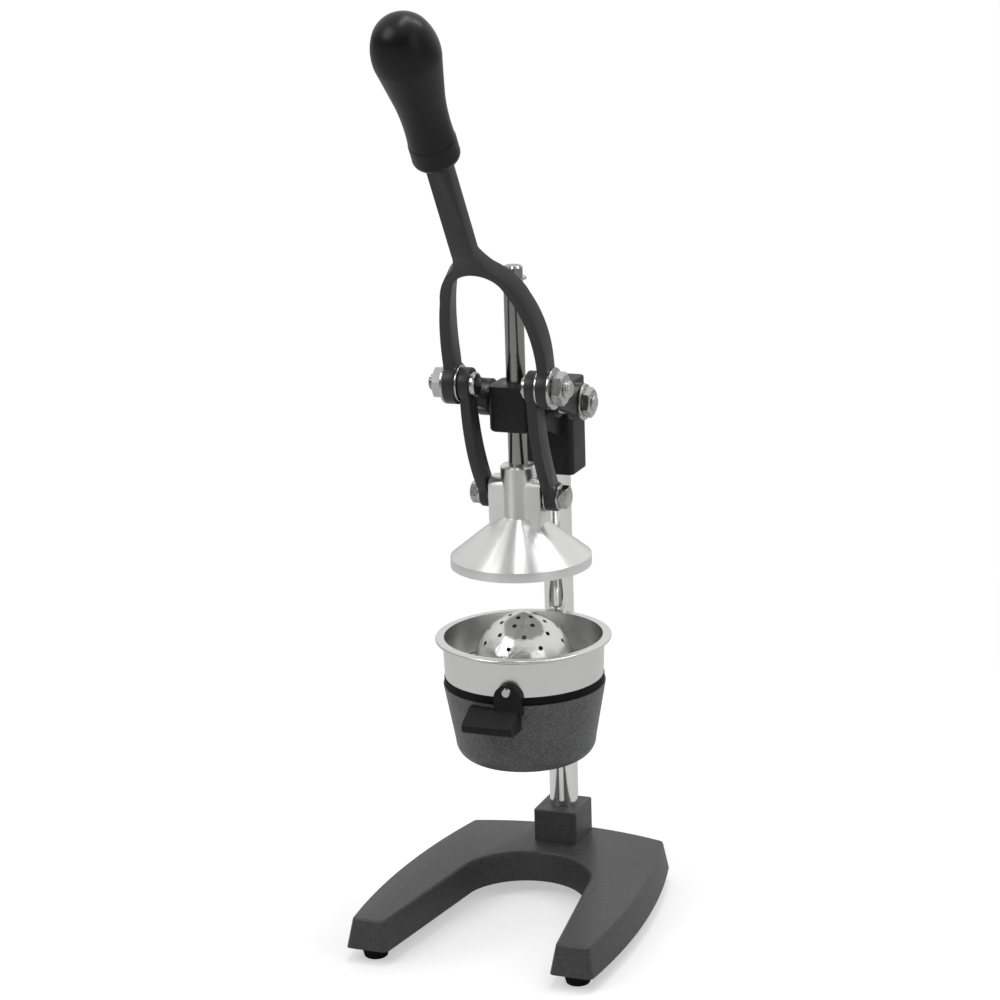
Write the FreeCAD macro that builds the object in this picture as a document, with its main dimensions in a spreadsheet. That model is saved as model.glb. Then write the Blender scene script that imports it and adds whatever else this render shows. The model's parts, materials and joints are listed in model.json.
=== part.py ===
import FreeCAD, Part
import math
import os
import re
import Sketcher

# Lever citrus juice press, millimetres, +Z up, front towards -Y.
# The origin is on the table under the middle of the object.
# Heights are counted from the table. Places along Y are counted from the press axis,
# the line on which rod, cone, reamer, cup and glass are centred.

Vector = FreeCAD.Vector
doc = FreeCAD.newDocument("juice_press")
sheet = doc.addObject("Spreadsheet::Sheet", "size")

sizes = {
    "press_axis_y": 57.9,         # press axis behind the middle of the whole object
    "slip": 0.05,                 # radial gap of a running fit
    "seat_gap": 0.1,              # radial gap of a screw or pin in its hole
    "rest_gap": 0.3,              # gap between pieces that move past each other
    "overcut": 1,                 # how far a cut runs past the face it opens
    # base casting
    "base_bottom": 12,
    "base_top": 37,
    "base_draft": 11,
    "tip_outer_half": 102.5,
    "tip_inner_half": 75,
    "tip_front": 142,
    "side_bulge_half": 106.5,
    "side_bulge_front": 40,
    "rear_half": 88,
    "rear_back": 93.6,
    "rear_middle": 108,
    "bay_half": 56,
    "bay_side_front": 5,
    "bay_back": 38,
    "base_wall": 8,
    "base_edge": 2.5,
    "leg_pocket_front": 112,
    "leg_pocket_back": 48,
    # feet
    "foot_dia": 25,
    "foot_taper": 14,
    "front_foot_x": 88.4,
    "front_foot_front": 128,
    "rear_foot_x": 68,
    "rear_foot_back": 74,
    "stud_dia": 6,
    "stud_depth_foot": 6,
    "stud_depth_base": 12,
    # column and its socket
    "column_offset": 87.1,
    "column_dia": 25,
    "column_foot": 25,
    "column_top": 449,
    "column_chamfer": 1.5,
    "socket_width": 39,
    "socket_front": 26,
    "socket_back": 18,
    "socket_corner": 3,
    "socket_top": 66,
    "block_corner": 5,
    "column_bolt_dia": 10,
    "column_bolt_depth": 20,
    "column_bolt_flats": 17,
    "column_bolt_head": 6,
    "column_washer_dia": 21,
    "column_washer_thick": 1.8,
    "bolt_recess_dia": 24,
    "bolt_recess_depth": 8.2,
    # clamping screws at the back
    "clamp_dia": 8,
    "clamp_flats": 13,
    "clamp_head": 5.3,
    "clamp_flat": 2,
    "socket_screw_height": 52,
    # head casting
    "head_width": 44,
    "head_depth": 36,
    "head_bottom": 366,
    "head_top": 446,
    "head_screw_low": 384,
    "head_screw_high": 428,
    "web_width": 24,
    "web_bottom_back": 396,
    "nose_width": 37,
    "nose_depth": 38,
    "nose_bottom": 422,
    "nose_top": 460,
    "nose_round": 7,
    "boss_dia": 28,
    "boss_width": 48,
    "casting_edge": 1.5,
    # guide bushes in the nose
    "bush_dia": 22,
    "bush_length": 15,
    # fixed pivot of the lever
    "pivot_back": 36,
    "pivot_height": 438.5,
    "axle_dia": 14,
    "axle_thread_dia": 12,
    "axle_half": 56,
    "fork_bush_dia": 18,
    "spacer_dia": 22,
    "pivot_washer_dia": 30,
    "pivot_nut_flats": 22,
    "pivot_nut": 6.5,
    "washer_thick": 2.2,
    # crank pins, which carry the links
    "crank_front": 33.9,
    "crank_height": 465.3,
    "crank_pin_dia": 14,
    "crank_pin_end": 60.5,
    "crank_head_dia": 20,
    "crank_head": 4,
    "crank_washer_dia": 34,
    "crank_nut_flats": 24,
    "crank_nut": 9,
    # lever
    "lever_lean": 31.5,
    "cheek_inner": 35.5,
    "cheek_thick": 9,
    "crank_hub_dia": 34,
    "axle_hub_dia": 31,
    "ear_width": 24,
    "arm_straight": 25,
    "arm_mid_half": 41.8,
    "arm_mid_at": 54,
    "shoulder_half": 35.6,
    "shoulder_at": 80.5,
    "bend_half": 27.6,
    "bend_at": 102.5,
    "throat_half": 15.5,
    "throat_at": 118,
    "throat_hollow": 1.2,
    "shaft_at": 138,
    "arch_half": 21,
    "arch_side_at": 97,
    "arch_top_at": 112.5,
    "arm_depth": 18,
    "arm_setback": 15,
    "shaft_width": 18.7,
    "shaft_depth": 11.5,
    "shaft_setback": 6,
    "tang_dia": 12,
    "tang_length": 74,
    "lever_blank": 120,
    # grip
    "grip_start": 227.5,
    "grip_length": 132.8,
    "grip_radius": 25.7,
    "grip_swell_at": 95,
    "grip_waist_radius": 17.8,
    "grip_waist_at": 28,
    "grip_collar_radius": 18.6,
    "grip_collar": 15,
    # links
    "link_inner": 24.4,
    "link_thick": 8.6,
    "link_top_radius": 13.5,
    "link_foot_radius": 12,
    "link_width": 18,
    "link_bow": 9,
    "link_taper": 1,
    "link_bolt_dia": 10,
    "link_bolt_flats": 17,
    "link_bolt_head": 7,
    "link_washer_dia": 21,
    "link_cover_dia": 26,
    "link_cover_thick": 1.5,
    "link_foot_height": 365.5,
    "link_foot_shift": 8.4,
    "link_foot_drop": 1.35,
    "link_foot_back": 4.2,
    # press cone and rod
    "cone_rim_radius": 58.4,
    "cone_rim": 307.4,
    "cone_band": 8,
    "cone_wall": 3.2,
    "cone_top": 349,
    "cone_top_radius": 16,
    "cone_roof_radius": 12,
    "hub_dia": 30,
    "hub_top": 392,
    "lug_inner": 6,
    "lug_half": 22.5,
    "lug_reach": 12,
    "lug_round": 8,
    "lug_top": 382,
    "lug_pocket_depth": 7,
    "rod_dia": 16,
    "rod_seat": 40,               # depth of the rod in the hub
    "rod_top": 557,
    "rod_chamfer": 1.5,
    "grub_dia": 5,
    "grub_depth": 8,
    "grub_sink": 0.6,
    "grub_socket": 2.5,
    "ring_height": 546,
    "ring_dia": 22,
    "ring_thick": 1.6,
    "ring_groove": 1,
    # cup holder
    "holder_top": 205.8,
    "holder_top_radius": 67.85,
    "holder_foot": 141,
    "holder_foot_radius": 59,
    "holder_round": 16,
    "holder_wall": 3.6,
    "holder_floor": 5,
    "holder_outlet_dia": 36,
    "collar_dia": 42,
    "collar_bottom": 150,
    "collar_top": 203,
    "arm_width": 34,
    "holder_screw_height": 176,
    # seat ring
    "seat_height": 7,
    "seat_radius": 66.9,
    # cup
    "cup_lip": 246,
    "cup_lip_radius": 73.4,
    "cup_lip_thick": 3,
    "cup_wall": 1.2,
    "cup_band_top_radius": 67.4,
    "cup_band_foot_radius": 66.3,
    "cup_waist_radius": 62.2,
    "cup_foot_radius": 57,
    "cup_foot": 174,
    "cup_spout_radius": 12,
    "cup_spout_foot": 154,
    # handle of the cup
    "handle_half": 21.5,
    "handle_front": 89,
    "handle_top": 203.7,
    "handle_nose_top": 195,
    "handle_bottom": 186,
    "tongue_shift": 12,
    "tongue_half": 11.5,
    "tongue_top": 225,
    "tongue_front": 71,
    "handle_screw_rise": 6.5,
    "handle_screw_dia": 4,
    "handle_screw_head_dia": 8.6,
    "handle_screw_head": 2.2,
    "handle_screw_slope": 25,
    "crown_flat": 2,              # small flat where a dome or knob meets its own axis
    # reamer
    "reamer_top": 266,
    "reamer_wall": 1.2,
    "reamer_foot_radius": 42.5,
    "reamer_shoulder_radius": 33,
    "reamer_shoulder": 246,
    "reamer_flange_radius": 63.6,
    "reamer_flange": 1.2,
    "reamer_hole_dia": 3.9,
    "dome_centre": 221,
    "drain_radius": 51,
    "drain_count": 12,
}

for row, (alias, amount) in enumerate(sizes.items(), 1):
    sheet.set(f"A{row}", alias)
    sheet.set(f"B{row}", str(amount))
    sheet.setAlias(f"B{row}", alias)
doc.recompute()

pieces = []
arc_cut = "(1 - cos(45))"         # share of its radius by which a rounded corner falls short of a sharp one


def bound(text):
    """Name the sheet in front of each size of an expression."""
    return re.sub(r"[a-z][a-z0-9_]*", lambda word: ("size." if word[0] in sizes else "") + word[0], text)


def number(text):
    return float(sheet.evalExpression(text))


def bind(thing, prop, text):
    thing.setExpression(prop, bound(text))


def place(piece, x="0", y="0", z="0"):
    bind(piece, "Placement.Base.x", x)
    bind(piece, "Placement.Base.y", f"press_axis_y + ({y})")
    bind(piece, "Placement.Base.z", z)


def new_body(name):
    piece = doc.addObject("PartDesign::Body", name)
    piece.Label = name
    piece.AllowCompound = True
    place(piece)
    pieces.append(piece)
    return piece


def origin_feature(piece, role):
    return next(item for item in piece.Origin.OriginFeatures if item.Role == role)


def new_sketch(piece, plane, lift="0"):
    sketch = piece.newObject("Sketcher::SketchObject", piece.Name + "_sketch")
    sketch.AttachmentSupport = [(origin_feature(piece, plane + "_Plane"), "")]
    sketch.MapMode = "FlatFace"
    bind(sketch, "AttachmentOffset.Base.z", lift)
    return sketch


def pin_point(sketch, geometry, point, u, v):
    """Hold a point of a sketch at the place that two expressions give."""
    for kind, text in (("DistanceX", u), ("DistanceY", v)):
        index = sketch.addConstraint(Sketcher.Constraint(kind, -1, 1, geometry, point, number(text)))
        sketch.renameConstraint(index, f"{kind[-1].lower()}{index}")
        sketch.setExpression(f"Constraints.{kind[-1].lower()}{index}", bound(text))


def outline(sketch, path):
    """Closed outline: each entry is a corner, or a corner and a point that an arc to it passes."""
    corners = [Vector(number(step[0]), number(step[1]), 0) for step in path]
    drawn = []
    for index, step in enumerate(path):
        start = corners[index - 1]
        if len(step) == 4:
            middle = Vector(number(step[2]), number(step[3]), 0)
            geometry = sketch.addGeometry(Part.Arc(start, middle, corners[index]), False)
            mark = sketch.addGeometry(Part.Point(middle), True)
            pin_point(sketch, mark, 1, step[2], step[3])
            sketch.addConstraint(Sketcher.Constraint("PointOnObject", mark, 1, geometry))
        else:
            geometry = sketch.addGeometry(Part.LineSegment(start, corners[index]), False)
        forward = sketch.getPoint(geometry, 1).distanceToPoint(start) < 1e-6
        drawn.append((geometry, 1 if forward else 2, 2 if forward else 1))
    for index, (geometry, first, last) in enumerate(drawn):
        following = drawn[(index + 1) % len(drawn)]
        sketch.addConstraint(Sketcher.Constraint("Coincident", geometry, last, following[0], following[1]))
        pin_point(sketch, geometry, last, *path[index][:2])


def circle(sketch, u, v, diameter):
    centre = Vector(number(u), number(v), 0)
    geometry = sketch.addGeometry(Part.Circle(centre, Vector(0, 0, 1), number(diameter) / 2), False)
    pin_point(sketch, geometry, 3, u, v)
    index = sketch.addConstraint(Sketcher.Constraint("Diameter", geometry, number(diameter)))
    sketch.renameConstraint(index, f"d{index}")
    sketch.setExpression(f"Constraints.d{index}", bound(diameter))


def rectangle(sketch, left, bottom, right, top):
    outline(sketch, [(left, bottom), (right, bottom), (right, top), (left, top)])


def rounded_rectangle(sketch, half, front, back, radius):
    """Rectangle from front to back with arcs at its corners, alike on both sides of the middle."""
    cut = f"({radius}) * {arc_cut}"
    outline(sketch, [
        (f"{half} - {radius}", front),
        (half, f"{front} + {radius}", f"{half} - {cut}", f"{front} + {cut}"),
        (half, f"{back} - {radius}"),
        (f"{half} - {radius}", back, f"{half} - {cut}", f"{back} - {cut}"),
        (f"{radius} - {half}", back),
        (f"-({half})", f"{back} - {radius}", f"{cut} - {half}", f"{back} - {cut}"),
        (f"-({half})", f"{front} + {radius}"),
        (f"{radius} - {half}", front, f"{cut} - {half}", f"{front} + {cut}"),
    ])


def hexagon(sketch, flats, u="0", v="0"):
    corner = f"{flats} / 2 / cos(30)"
    outline(sketch, [(f"{u} + {corner} * cos({turn})", f"{v} + {corner} * sin({turn})")
                     for turn in range(0, 360, 60)])


def pad(piece, sketch, length, side="One side", back=False):
    feature = piece.newObject("PartDesign::Pad", piece.Name + "_pad")
    feature.Profile = sketch
    feature.SideType = side
    feature.Reversed = back
    bind(feature, "Length", length)
    return feature


def pocket(piece, sketch, length="1000", side="Symmetric", back=False):
    feature = piece.newObject("PartDesign::Pocket", piece.Name + "_pocket")
    feature.Profile = sketch
    feature.SideType = side
    feature.Reversed = back
    bind(feature, "Length", length)
    return feature


def turned(piece, sketch, kind="Revolution", axis="V_Axis"):
    feature = piece.newObject("PartDesign::" + kind, piece.Name + "_turned")
    feature.Profile = sketch
    feature.ReferenceAxis = (sketch, [axis])
    feature.Angle = 360
    return feature


def polar(piece, features, count, angle=360):
    pattern = piece.newObject("PartDesign::PolarPattern", piece.Name + "_ring")
    pattern.Originals = features
    pattern.Axis = (origin_feature(piece, "Z_Axis"), [""])
    pattern.Angle = angle
    pattern.Occurrences = count
    piece.Tip = pattern
    return pattern


def mirrored(piece, features, plane="YZ"):
    mirror = piece.newObject("PartDesign::Mirrored", piece.Name + "_mirror")
    mirror.Originals = features
    mirror.MirrorPlane = (origin_feature(piece, plane + "_Plane"), [""])
    piece.Tip = mirror
    return mirror


def rounded(piece, radius, pick):
    """Fillet the edges of a body that a test on an edge picks."""
    doc.recompute()
    names = [f"Edge{index}" for index, edge in enumerate(piece.Shape.Edges, 1) if pick(edge)]
    feature = piece.newObject("PartDesign::Fillet", piece.Name + "_fillet")
    feature.Base = (piece.Tip if piece.Tip != feature else feature.BaseFeature, names)
    bind(feature, "Radius", radius)
    return feature


def upright(edge):
    ends = [vertex.Point for vertex in edge.Vertexes]
    if len(ends) < 2:
        return False
    along = ends[1] - ends[0]
    return abs(along.z) > 1 and math.hypot(along.x, along.y) < 0.3 * abs(along.z)


def level_at(edge, height):
    box = edge.BoundBox
    return abs(box.ZMin - height) < 1e-4 and abs(box.ZMax - height) < 1e-4


def ring(piece, plane, lift, outer, inner, length, back=False):
    """Washer, bush or spacer about the sketch origin."""
    sketch = new_sketch(piece, plane, lift)
    circle(sketch, "0", "0", outer)
    if inner:
        circle(sketch, "0", "0", inner)
    return pad(piece, sketch, length, back=back)


def nut(piece, plane, lift, flats, inner, length, back=False):
    sketch = new_sketch(piece, plane, lift)
    hexagon(sketch, flats)
    if inner:
        circle(sketch, "0", "0", inner)
    return pad(piece, sketch, length, back=back)


def lean(piece, angle, axis=Vector(1, 0, 0)):
    """Turn a piece about an axis through its own origin."""
    piece.Placement = FreeCAD.Placement(piece.Placement.Base, FreeCAD.Rotation(axis, number(angle)))
    bind(piece, "Placement.Rotation.Angle", angle)


def make_base():
    """Horseshoe casting with the column's socket; the legs are hollow from below."""
    body = new_body("base_casting")
    shell = new_sketch(body, "XY", "base_top")
    outline(shell, [
        ("-rear_half", "rear_back", "0", "rear_middle"),
        ("-tip_outer_half", "-tip_front", "-side_bulge_half", "-side_bulge_front"),
        ("-tip_inner_half", "-tip_front"),
        ("-bay_half", "-bay_side_front"),
        ("bay_half", "-bay_side_front", "0", "bay_back"),
        ("tip_inner_half", "-tip_front"),
        ("tip_outer_half", "-tip_front"),
        ("rear_half", "rear_back", "side_bulge_half", "-side_bulge_front"),
    ])
    slab = pad(body, shell, "base_top - base_bottom", back=True)
    bind(slab, "TaperAngle", "base_draft")
    rounded(body, "base_edge * 2", upright)
    rounded(body, "base_edge", lambda edge: level_at(edge, number("base_top")))
    block = new_sketch(body, "XY", "base_top - base_edge")
    rounded_rectangle(block, "socket_width / 2", "column_offset - socket_front",
                      "column_offset + socket_back", "socket_corner")
    pad(body, block, "socket_top - base_top + base_edge")
    rounded(body, "base_edge / 2", lambda edge: level_at(edge, number("socket_top")))
    bore = new_sketch(body, "XY", "column_foot")
    circle(bore, "0", "column_offset", "column_dia + 2 * slip")
    pocket(body, bore, "socket_top", "One side", True)
    passage = new_sketch(body, "XY", "base_bottom")
    circle(passage, "0", "column_offset", "column_bolt_dia + 2 * seat_gap")
    pocket(body, passage, "column_foot", "One side", True)
    recess = new_sketch(body, "XY", "base_bottom")
    circle(recess, "0", "column_offset", "bolt_recess_dia")
    pocket(body, recess, "bolt_recess_depth", "One side", True)
    for side in ("-", ""):
        hollow = new_sketch(body, "XY", "base_bottom")
        outline(hollow, [
            (f"{side}(tip_inner_half + base_wall / 2)", "-leg_pocket_front"),
            (f"{side}(tip_outer_half - base_wall)", "-leg_pocket_front"),
            (f"{side}(side_bulge_half - base_wall)", "-side_bulge_front"),
            (f"{side}(rear_half - base_wall / 2)", "leg_pocket_back"),
            (f"{side}(bay_half + base_wall)", "bay_side_front"),
        ])
        pocket(body, hollow, "base_top - base_bottom - base_wall", "One side", True)
        for x, y in foot_places():
            hole = new_sketch(body, "XY", "base_bottom")
            circle(hole, side + x, y, "stud_dia + 2 * seat_gap")
            pocket(body, hole, "stud_depth_base + rest_gap", "One side", True)
    back_hole(body, "socket_screw_height", "socket_back + overcut")


def back_hole(body, height, depth, diameter="clamp_dia"):
    """Hole for a clamping screw from the back through to the column."""
    screw = new_sketch(body, "XZ", "-column_offset")
    circle(screw, "0", height, diameter + " + 2 * seat_gap")
    pocket(body, screw, depth, "One side")


def back_screw(body, height, face):
    """Hexagon screw along Y; its tip meets the column and its head lies on the rear face."""
    tip = "(column_offset + column_dia / 2 + seat_gap)"
    shank = new_sketch(body, "XZ", f"-{tip}")
    circle(shank, "0", height, "clamp_dia")
    pad(body, shank, f"{face} - {tip} + clamp_head / 2", back=True)
    head = new_sketch(body, "XZ", f"-({face})")
    hexagon(head, "clamp_flats", "0", height)
    pad(body, head, "clamp_head", back=True)


def foot_places():
    return (("front_foot_x", "-front_foot_front"), ("rear_foot_x", "rear_foot_back"))


def make_feet():
    body = new_body("rubber_feet")
    studs = new_body("foot_studs")
    feet_made = []
    studs_made = []
    for x, y in foot_places():
        sketch = new_sketch(body, "XY", "base_bottom")
        circle(sketch, x, y, "foot_dia")
        foot = pad(body, sketch, "base_bottom", back=True)
        bind(foot, "TaperAngle", "-foot_taper")
        feet_made.append(foot)
        stud = new_sketch(studs, "XY", "base_bottom - stud_depth_foot")
        circle(stud, x, y, "stud_dia")
        studs_made.append(pad(studs, stud, "stud_depth_foot + stud_depth_base"))
    holes = []
    for x, y in foot_places():
        hole = new_sketch(body, "XY", "base_bottom")
        circle(hole, x, y, "stud_dia + 2 * seat_gap")
        holes.append(pocket(body, hole, "stud_depth_foot + rest_gap", "One side"))
    mirrored(body, feet_made + holes)
    mirrored(studs, studs_made)


def make_column():
    """Bright round bar with a tapped hole in its foot."""
    body = new_body("column")
    place(body, "0", "column_offset")
    profile = new_sketch(body, "XZ")
    outline(profile, [
        ("0", "column_foot + column_bolt_depth + rest_gap"),
        ("column_bolt_dia / 2 + seat_gap", "column_foot + column_bolt_depth + rest_gap"),
        ("column_bolt_dia / 2 + seat_gap", "column_foot"),
        ("column_dia / 2 - column_chamfer", "column_foot"),
        ("column_dia / 2", "column_foot + column_chamfer"),
        ("column_dia / 2", "column_top - column_chamfer"),
        ("column_dia / 2 - column_chamfer", "column_top"),
        ("0", "column_top"),
    ])
    turned(body, profile)


def make_column_bolt():
    """Bolt from below that holds the column in the base, and its washer."""
    seat = "(base_bottom + bolt_recess_depth - column_washer_thick)"
    bolt = new_body("column_bolt")
    place(bolt, "0", "column_offset")
    nut(bolt, "XY", seat, "column_bolt_flats", "", "column_bolt_head", back=True)
    ring(bolt, "XY", f"{seat} - column_bolt_head / 2", "column_bolt_dia", "",
         f"column_foot + column_bolt_depth - {seat} + column_bolt_head / 2")
    washer = new_body("column_washer")
    place(washer, "0", "column_offset")
    ring(washer, "XY", seat, "column_washer_dia", "column_bolt_dia + 2 * seat_gap", "column_washer_thick")


def make_clamp_screws():
    socket = new_body("socket_set_screw")
    back_screw(socket, "socket_screw_height", "column_offset + socket_back")
    head = new_body("head_set_screws")
    for height in ("head_screw_low", "head_screw_high"):
        back_screw(head, height, "column_offset + head_depth / 2")
    holder = new_body("holder_clamp_screw")
    back_screw(holder, "holder_screw_height", "column_offset + collar_dia / 2 - clamp_flat")


def make_head():
    """Head casting: clamp block on the column, web, pivot boss and nose that guides the rod."""
    body = new_body("head_casting")
    block = new_sketch(body, "XY", "head_bottom")
    rounded_rectangle(block, "head_width / 2", "column_offset - head_depth / 2",
                      "column_offset + head_depth / 2", "block_corner")
    pad(body, block, "head_top - head_bottom")
    rounded(body, "casting_edge", lambda edge: level_at(edge, number("head_top"))
            or level_at(edge, number("head_bottom")))
    nose = new_sketch(body, "XY", "nose_bottom")
    rounded_rectangle(nose, "nose_width / 2", "-nose_depth / 2", "nose_depth / 2", "nose_round")
    pad(body, nose, "nose_top - nose_bottom")
    rounded(body, "nose_round / 2", lambda edge: level_at(edge, number("nose_bottom")))
    web = new_sketch(body, "YZ")
    outline(web, [
        ("nose_depth / 4", "nose_top - casting_edge"),
        ("nose_depth / 4", "nose_bottom + casting_edge"),
        ("column_offset - head_depth / 4", "web_bottom_back"),
        ("column_offset - head_depth / 4", "head_top - casting_edge"),
        ("pivot_back", "nose_top - casting_edge"),
    ])
    pad(body, web, "web_width", "Symmetric")
    boss = new_sketch(body, "YZ")
    circle(boss, "pivot_back", "pivot_height", "boss_dia")
    pad(body, boss, "boss_width", "Symmetric")
    for diameter, middle, plane in (("axle_dia + 2 * slip", ("pivot_back", "pivot_height"), "YZ"),
                                    ("bush_dia + 2 * seat_gap", ("0", "0"), "XY"),
                                    ("column_dia + 2 * slip", ("0", "column_offset"), "XY")):
        bore = new_sketch(body, plane)
        circle(bore, middle[0], middle[1], diameter)
        pocket(body, bore)
    for height in ("head_screw_low", "head_screw_high"):
        back_hole(body, height, "head_depth")


def make_guide_bushes():
    body = new_body("guide_bushes")
    bore = "rod_dia + 2 * slip"
    ring(body, "XY", "nose_top", "bush_dia", bore, "bush_length", back=True)
    ring(body, "XY", "nose_bottom", "bush_dia", bore, "bush_length")


def make_pivot():
    """Fixed axle of the lever with spacers, washers and nuts."""
    axle = new_body("pivot_axle")
    spacers = new_body("pivot_spacers")
    bushes = new_body("fork_bushes")
    washers = new_body("pivot_washers")
    nuts = new_body("pivot_nuts")
    for piece in (axle, spacers, bushes, washers, nuts):
        place(piece, "0", "pivot_back", "pivot_height")
    cheek_outer = "(cheek_inner + cheek_thick)"
    profile = new_sketch(axle, "XY")
    outline(profile, [
        ("-axle_half", "0"),
        ("-axle_half", "axle_thread_dia / 2"),
        (f"-{cheek_outer}", "axle_thread_dia / 2"),
        (f"-{cheek_outer}", "axle_dia / 2"),
        (cheek_outer, "axle_dia / 2"),
        (cheek_outer, "axle_thread_dia / 2"),
        ("axle_half", "axle_thread_dia / 2"),
        ("axle_half", "0"),
    ])
    turned(axle, profile, axis="H_Axis")
    spacer = ring(spacers, "YZ", "boss_width / 2", "spacer_dia", "axle_dia + 2 * slip",
                  "cheek_inner - boss_width / 2 - rest_gap")
    mirrored(spacers, [spacer])
    bush = ring(bushes, "YZ", "cheek_inner", "fork_bush_dia", "axle_dia + 2 * slip", "cheek_thick")
    mirrored(bushes, [bush])
    thread = "axle_thread_dia + 2 * seat_gap"
    washer = ring(washers, "YZ", f"{cheek_outer} + rest_gap", "pivot_washer_dia", thread, "washer_thick")
    mirrored(washers, [washer])
    outer = nut(nuts, "YZ", f"{cheek_outer} + rest_gap + washer_thick", "pivot_nut_flats", thread, "pivot_nut")
    mirrored(nuts, [outer])


def make_lever():
    """Forked lever: two cheeks with a crank hub and an axle hub, arms that meet, shaft and tang."""
    body = new_body("lever_yoke")
    place(body, "0", "-crank_front", "crank_height")
    lean(body, "lever_lean")
    front = new_sketch(body, "XZ")
    cheek_outer = "(cheek_inner + cheek_thick)"
    right = [
        ("shaft_width / 2", "grip_start"),
        ("shaft_width / 2", "shaft_at"),
        ("throat_half", "throat_at", "(throat_half + shaft_width / 2) / 2 - throat_hollow",
         "(throat_at + shaft_at) / 2"),
        ("shoulder_half", "shoulder_at", "bend_half", "bend_at"),
        (cheek_outer, "arm_straight", "arm_mid_half", "arm_mid_at"),
        (cheek_outer, "0"),
        ("cheek_inner", "0"),
        ("cheek_inner", "arm_straight"),
        ("arch_half", "arch_side_at", "arm_mid_half - cheek_thick", "arm_mid_at"),
    ]
    outline(front, right + mirror_path(right, ("0", "arch_top_at")))
    pad(body, front, "lever_blank", "Symmetric")
    side = new_sketch(body, "YZ")
    rectangle(side, "-lever_blank", "-lever_blank", "lever_blank", "grip_start + lever_blank")
    outline(side, [
        ("shaft_setback - shaft_depth / 2", "grip_start"),
        ("shaft_setback - shaft_depth / 2", "shaft_at"),
        ("-arm_depth / 2", "0", "arm_setback - arm_depth / 2", "arm_mid_at"),
        ("arm_depth / 2", "0"),
        ("shaft_setback + shaft_depth / 2", "shaft_at", "arm_setback + arm_depth / 2", "arm_mid_at"),
        ("shaft_setback + shaft_depth / 2", "grip_start"),
    ])
    pocket(body, side)
    ear_y, ear_z = axle_in_lever()
    cheeks = []
    for disc in (("0", "0", "crank_hub_dia"), (ear_y, ear_z, "axle_hub_dia")):
        sketch = new_sketch(body, "YZ", "cheek_inner")
        circle(sketch, *disc)
        cheeks.append(pad(body, sketch, "cheek_thick"))
    ear = new_sketch(body, "YZ", "cheek_inner")
    reach = f"sqrt({ear_y} ^ 2 + {ear_z} ^ 2)"
    off_y = f"(ear_width / 2 * {ear_z} / {reach})"
    off_z = f"(ear_width / 2 * {ear_y} / {reach})"
    outline(ear, [(off_y, f"-{off_z}"), (f"-{off_y}", off_z), (f"{ear_y} - {off_y}", f"{ear_z} + {off_z}"),
                  (f"{ear_y} + {off_y}", f"{ear_z} - {off_z}")])
    cheeks.append(pad(body, ear, "cheek_thick"))
    mirrored(body, cheeks)
    for u, v, diameter in (("0", "0", "crank_pin_dia + 2 * seat_gap"),
                           (ear_y, ear_z, "fork_bush_dia + 2 * seat_gap")):
        bore = new_sketch(body, "YZ")
        circle(bore, u, v, diameter)
        pocket(body, bore)
    tang = new_sketch(body, "XY", "grip_start - overcut")
    circle(tang, "0", "shaft_setback", "tang_dia")
    pad(body, tang, "tang_length + overcut")


def mirror_path(path, peak):
    """The other half of an outline that is alike on both sides; an arc over the peak joins them."""
    flipped = []
    for index in range(len(path) - 1, -1, -1):
        corner = (f"-({path[index][0]})", path[index][1])
        following = path[index + 1] if index + 1 < len(path) else None
        if following is None:
            flipped.append(corner + peak)
        elif len(following) == 4:
            flipped.append(corner + (f"-({following[2]})", following[3]))
        else:
            flipped.append(corner)
    return flipped


def axle_in_lever():
    """Place of the fixed axle seen along and across the leaning lever."""
    back = "(crank_front + pivot_back)"
    drop = "(crank_height - pivot_height)"
    return (f"({back} * cos(lever_lean) - {drop} * sin(lever_lean))",
            f"(0 - {back} * sin(lever_lean) - {drop} * cos(lever_lean))")


def make_grip():
    """Turned black grip with a collar, a waist and a knob, bored for the tang."""
    body = new_body("lever_grip")
    place(body, "0", "-crank_front - grip_start * sin(lever_lean) + shaft_setback * cos(lever_lean)",
          "crank_height + grip_start * cos(lever_lean) + shaft_setback * sin(lever_lean)")
    lean(body, "lever_lean")
    profile = new_sketch(body, "XZ")
    # the factors below are the shares of the named radii and heights that the turned shape passes
    outline(profile, [
        ("0", "tang_length + rest_gap"),
        ("tang_dia / 2 + seat_gap", "tang_length + rest_gap"),
        ("tang_dia / 2 + seat_gap", "seat_gap"),
        ("grip_collar_radius * 0.72", "seat_gap"),
        ("grip_collar_radius", "grip_collar / 2", "grip_collar_radius * 0.93", "grip_collar * 0.16"),
        ("grip_collar_radius", "grip_collar * 1.3"),
        ("grip_waist_radius * 1.02", "grip_collar * 1.4"),
        ("grip_radius * 0.75", "grip_swell_at * 0.61", "grip_waist_radius", "grip_waist_at"),
        ("grip_radius", "grip_swell_at", "grip_radius * 0.868", "grip_swell_at * 0.8"),
        ("grip_radius * 0.79", "grip_length * 0.918", "grip_radius * 0.956", "grip_length * 0.836"),
        ("crown_flat", "grip_length", "grip_radius * 0.45", "grip_length * 0.98"),
        ("0", "grip_length"),
    ])
    turned(body, profile)


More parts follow.
